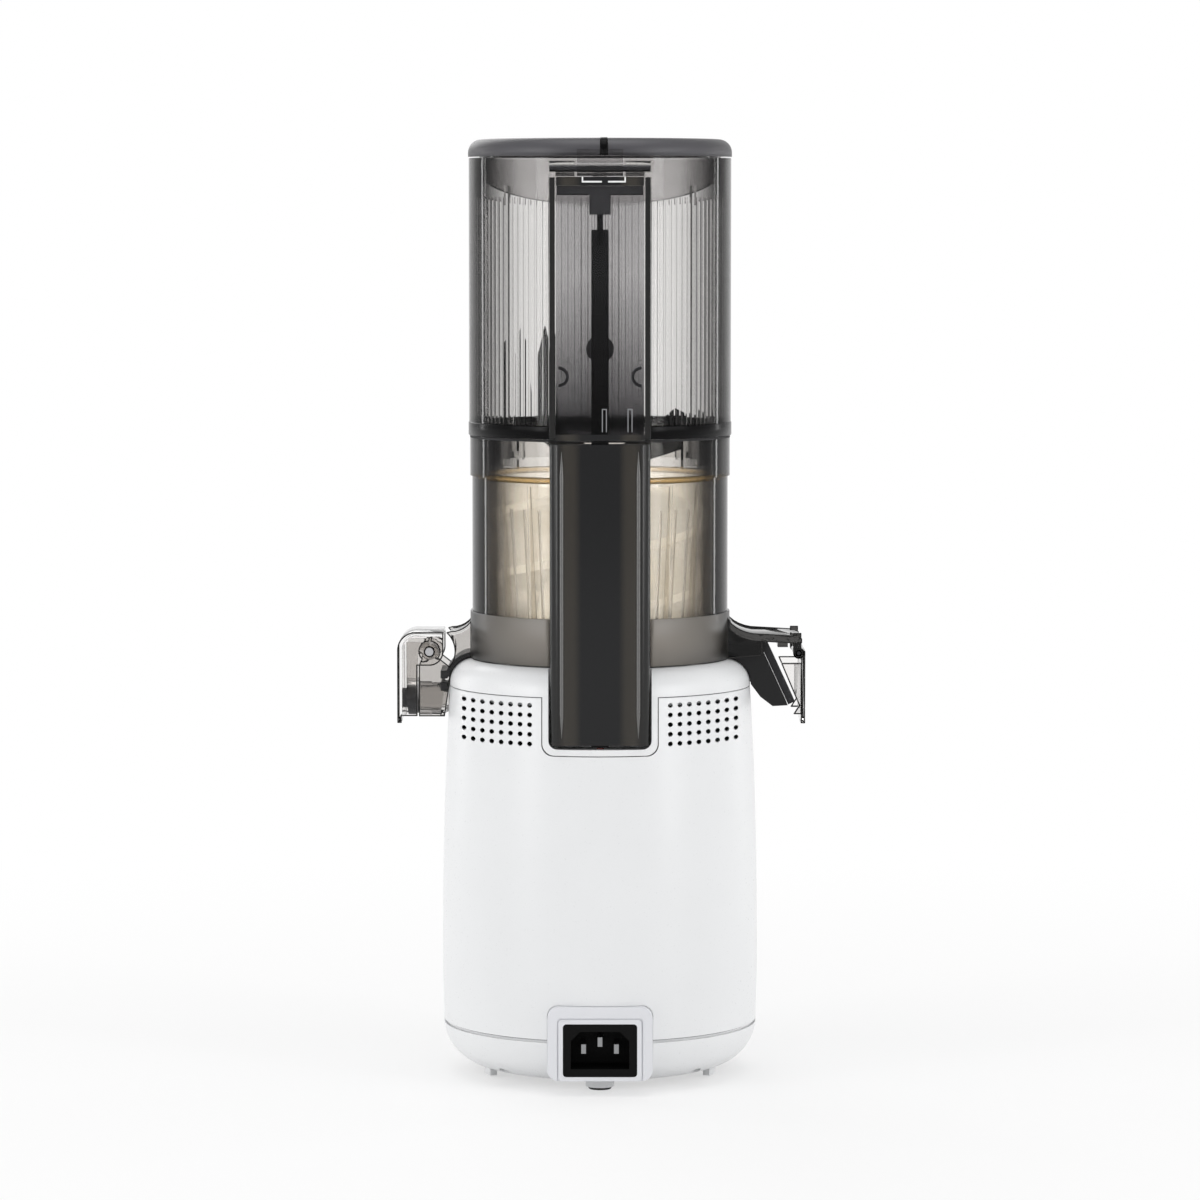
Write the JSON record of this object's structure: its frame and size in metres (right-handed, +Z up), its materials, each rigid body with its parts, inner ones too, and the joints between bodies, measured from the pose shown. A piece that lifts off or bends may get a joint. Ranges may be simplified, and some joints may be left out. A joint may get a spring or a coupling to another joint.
{
  "type": "cold press juicer",
  "caption": "Upright slow juicer: motor base, lift-off chamber with auger and strainer, fluted hopper with hinged lid, juice and pulp spouts with caps.",
  "frame": {"origin": "on the drive axis at the floor, under the middle of the base", "axes": "+Z up along the drive axis; -Y is the front with the selector knob; +Y is the back with the inlet and the spine; +X is the juice side"},
  "size_m": [0.1782, 0.146, 0.4074],
  "materials": {
    "white_casing": "satin moulded",
    "black_rubber": "matt",
    "steel": "plain",
    "black_plastic": "moulded",
    "iron": "laminated",
    "bronze": "turned",
    "gear_nylon": "moulded",
    "circuit": "laminate",
    "knob_silver": "satin",
    "red_plastic": "moulded",
    "clear_smoky": "polished",
    "dark_smoky": "satin",
    "silicone": "satin",
    "strainer_amber": "moulded",
    "auger_resin": "moulded",
    "lid_smoky": "satin"
  },
  "bodies": {
    "base": {"base_housing": "white_casing", "base_top_cover": "white_casing", "base_bottom_cover": "white_casing", "rubber_feet": "black_rubber", "cover_screws": "steel", "inlet_bezel": "white_casing", "inlet_socket": "black_plastic", "inlet_pins": "steel", "motor_can": "steel", "stator_core": "iron", "motor_bearings": "steel", "gearbox_case": "gear_nylon", "gearbox_plate": "steel", "output_bearing": "bronze", "shaft_seal": "black_rubber", "control_board": "circuit", "rotary_switch": "black_plastic", "interlock_switch": "black_plastic"},
    "rotor": {"rotor_core": "iron", "motor_shaft": "steel", "cooling_fan": "black_plastic"},
    "first_carrier": {"carrier_1": "steel"},
    "planet_1a": {"planet_1a": "gear_nylon"},
    "planet_1b": {"planet_1b": "gear_nylon"},
    "planet_1c": {"planet_1c": "gear_nylon"},
    "output": {"carrier_2": "steel", "drive_shaft": "steel"},
    "planet_2a": {"planet_2a": "gear_nylon"},
    "planet_2b": {"planet_2b": "gear_nylon"},
    "planet_2c": {"planet_2c": "gear_nylon"},
    "knob": {"selector_knob": "knob_silver"},
    "plunger": {"switch_plunger": "red_plastic"},
    "chamber": {"chamber_bowl": "clear_smoky", "chamber_spine": "dark_smoky", "chamber_seal": "silicone", "juice_spout": "clear_smoky", "nozzle_seal": "black_rubber", "juice_cap_pin": "steel", "pulp_duct": "black_plastic", "pulp_canopy": "lid_smoky", "pulp_cap_pin": "steel", "strainer": "strainer_amber"},
    "auger": {"auger": "auger_resin", "feed_blade": "black_plastic"},
    "juice_cap": {"juice_cap": "clear_smoky", "juice_cap_lever": "auger_resin", "juice_cap_disc": "silicone"},
    "pulp_cap": {"pulp_cap": "clear_smoky"},
    "pulp_flap": {"pulp_flap": "black_rubber"},
    "lower_rod": {"lower_rod": "black_plastic"},
    "hopper": {"hopper": "clear_smoky", "hopper_spine_cover": "dark_smoky", "hinge_pin": "steel", "hopper_gasket": "black_rubber"},
    "lid": {"hopper_lid": "lid_smoky"},
    "upper_rod": {"upper_rod": "black_plastic"}
  },
  "joints": [
    {"name": "rotor_spin", "type": "hinge", "parent": "base", "child": "rotor", "pos_m": [0, 0, 0.1], "axis": [0, 0, 1], "continuous": true},
    {"name": "first_carrier_spin", "type": "hinge", "parent": "base", "child": "first_carrier", "pos_m": [0, 0, 0.1], "axis": [0, 0, 1], "continuous": true},
    {"name": "output_spin", "type": "hinge", "parent": "base", "child": "output", "pos_m": [0, 0, 0.1], "axis": [0, 0, 1], "continuous": true},
    {"name": "planet_1a_spin", "type": "hinge", "parent": "first_carrier", "child": "planet_1a", "pos_m": [0.01875, 0, 0.12], "axis": [0, 0, 1], "continuous": true},
    {"name": "planet_2a_spin", "type": "hinge", "parent": "output", "child": "planet_2a", "pos_m": [0.01875, 0, 0.12], "axis": [0, 0, 1], "continuous": true},
    {"name": "planet_1b_spin", "type": "hinge", "parent": "first_carrier", "child": "planet_1b", "pos_m": [-0.00937, 0.01624, 0.12], "axis": [0, 0, 1], "continuous": true},
    {"name": "planet_2b_spin", "type": "hinge", "parent": "output", "child": "planet_2b", "pos_m": [-0.00937, 0.01624, 0.12], "axis": [0, 0, 1], "continuous": true},
    {"name": "planet_1c_spin", "type": "hinge", "parent": "first_carrier", "child": "planet_1c", "pos_m": [-0.00937, -0.01624, 0.12], "axis": [0, 0, 1], "continuous": true},
    {"name": "planet_2c_spin", "type": "hinge", "parent": "output", "child": "planet_2c", "pos_m": [-0.00937, -0.01624, 0.12], "axis": [0, 0, 1], "continuous": true},
    {"name": "knob_turn", "type": "hinge", "parent": "base", "child": "knob", "pos_m": [0, -0.07, 0.096], "axis": [0, -1, 0], "range_deg": [-45, 45]},
    {"name": "plunger_slide", "type": "slide", "parent": "base", "child": "plunger", "axis": [0, 0, 1], "range_m": [0, 0.0024]},
    {"name": "chamber_lift", "type": "slide", "parent": "base", "child": "chamber", "axis": [0, 0, 1], "range_m": [0, 0.06]},
    {"name": "auger_spin", "type": "hinge", "parent": "chamber", "child": "auger", "pos_m": [0, 0, 0.1], "axis": [0, 0, 1], "continuous": true},
    {"name": "juice_cap_hinge", "type": "hinge", "parent": "chamber", "child": "juice_cap", "pos_m": [0.0745, -0.008, 0.1849], "axis": [0, -1, 0], "range_deg": [0, 75]},
    {"name": "pulp_cap_hinge", "type": "hinge", "parent": "chamber", "child": "pulp_cap", "pos_m": [-0.0866, -0.008, 0.1846], "axis": [0, 1, 0], "range_deg": [0, 80]},
    {"name": "pulp_flap_hinge", "type": "hinge", "parent": "chamber", "child": "pulp_flap", "pos_m": [-0.07051, -0.008, 0.187], "axis": [0, 1, 0], "range_deg": [0, 4]},
    {"name": "lower_rod_slide", "type": "slide", "parent": "chamber", "child": "lower_rod", "axis": [0, 0, 1], "range_m": [0, 0.0024]},
    {"name": "hopper_lift", "type": "slide", "parent": "chamber", "child": "hopper", "axis": [0, 0, 1], "range_m": [0, 0.06]},
    {"name": "lid_hinge", "type": "hinge", "parent": "hopper", "child": "lid", "pos_m": [0, 0.0622, 0.3945], "axis": [-1, 0, 0], "range_deg": [0, 105]},
    {"name": "upper_rod_slide", "type": "slide", "parent": "hopper", "child": "upper_rod", "axis": [0, 0, 1], "range_m": [0, 0.0024]}
  ],
  "couplings": [
    {"joint": "first_carrier_spin", "follows": "rotor_spin", "ratio": 0.2},
    {"joint": "output_spin", "follows": "rotor_spin", "ratio": 0.04},
    {"joint": "auger_spin", "follows": "rotor_spin", "ratio": 0.04},
    {"joint": "planet_1a_spin", "follows": "rotor_spin", "ratio": -0.53333},
    {"joint": "planet_2a_spin", "follows": "rotor_spin", "ratio": -0.10667},
    {"joint": "planet_1b_spin", "follows": "rotor_spin", "ratio": -0.53333},
    {"joint": "planet_2b_spin", "follows": "rotor_spin", "ratio": -0.10667},
    {"joint": "planet_1c_spin", "follows": "rotor_spin", "ratio": -0.53333},
    {"joint": "planet_2c_spin", "follows": "rotor_spin", "ratio": -0.10667},
    {"joint": "plunger_slide", "follows": "lid_hinge", "m_per_rad": 0.001255},
    {"joint": "lower_rod_slide", "follows": "lid_hinge", "m_per_rad": 0.001255},
    {"joint": "upper_rod_slide", "follows": "lid_hinge", "m_per_rad": 0.001255}
  ]
}
